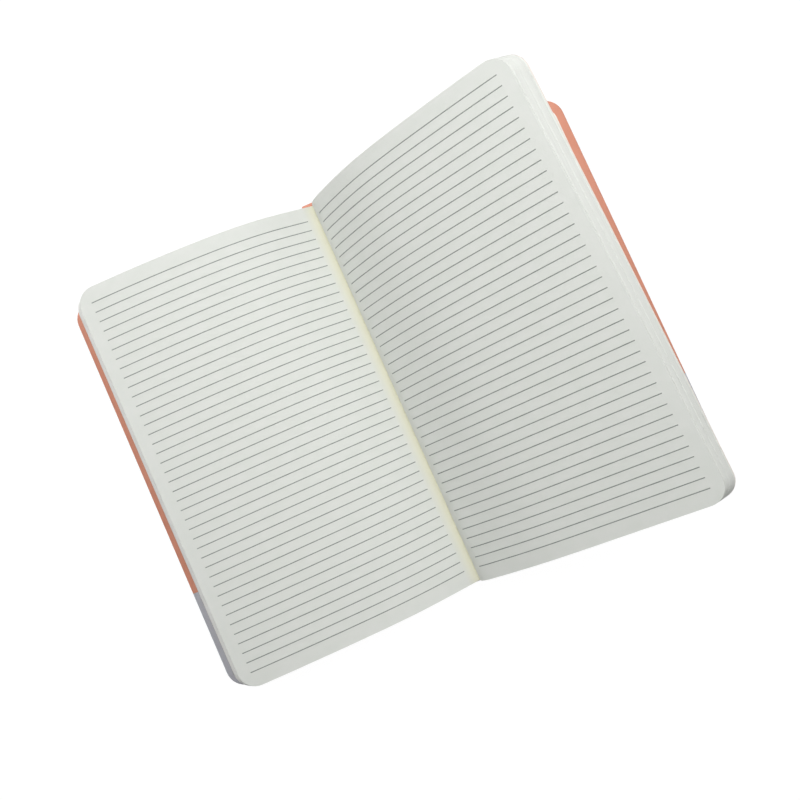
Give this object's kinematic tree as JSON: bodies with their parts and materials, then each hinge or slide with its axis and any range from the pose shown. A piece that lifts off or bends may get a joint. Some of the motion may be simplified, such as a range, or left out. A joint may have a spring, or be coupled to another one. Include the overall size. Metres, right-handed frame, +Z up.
{
  "type": "elastic strap notebook",
  "caption": "Open case-bound notebook of ruled leaves with hinged cloth covers in two colours and an elastic strap parked behind the back cover.",
  "frame": {"origin": "middle of the open notebook's footprint, on the table", "axes": "+X across the open covers to the back cover, +Y up the page to the head, +Z up"},
  "size_m": [0.278, 0.215, 0.0991],
  "materials": {
    "leaves": "uncoated white paper",
    "ruling": "grey-green printed line",
    "lining": "kraft lining paper",
    "endpaper": "plain off-white paper",
    "board": "grey board",
    "main_cloth": "matt coral book cloth",
    "tail_cloth": "matt lavender-grey book cloth",
    "elastic": "flat woven elastic"
  },
  "bodies": {
    "book_block": {"pages": "leaves", "left_rules": "ruling", "right_rules": "ruling", "spine_lining": "lining", "spine_paper": "endpaper", "spine_board": "board", "spine_cloth": "main_cloth", "spine_cloth_tail": "tail_cloth"},
    "front_cover": {"front_board": "board", "front_cloth": "main_cloth", "front_cloth_tail": "tail_cloth", "front_endpaper": "endpaper"},
    "back_cover": {"back_board": "board", "back_cloth": "main_cloth", "back_cloth_tail": "tail_cloth", "back_endpaper": "endpaper", "strap": "elastic"}
  },
  "joints": [
    {"name": "front_cover_hinge", "type": "hinge", "parent": "book_block", "child": "front_cover", "pos_m": [-0.0105, 0, 0.0008], "axis": [0, 1, 0], "range_deg": [-90, 4]},
    {"name": "back_cover_hinge", "type": "hinge", "parent": "book_block", "child": "back_cover", "pos_m": [0.0105, 0, 0.0008], "axis": [0, 1, 0], "range_deg": [-20, 90]}
  ]
}
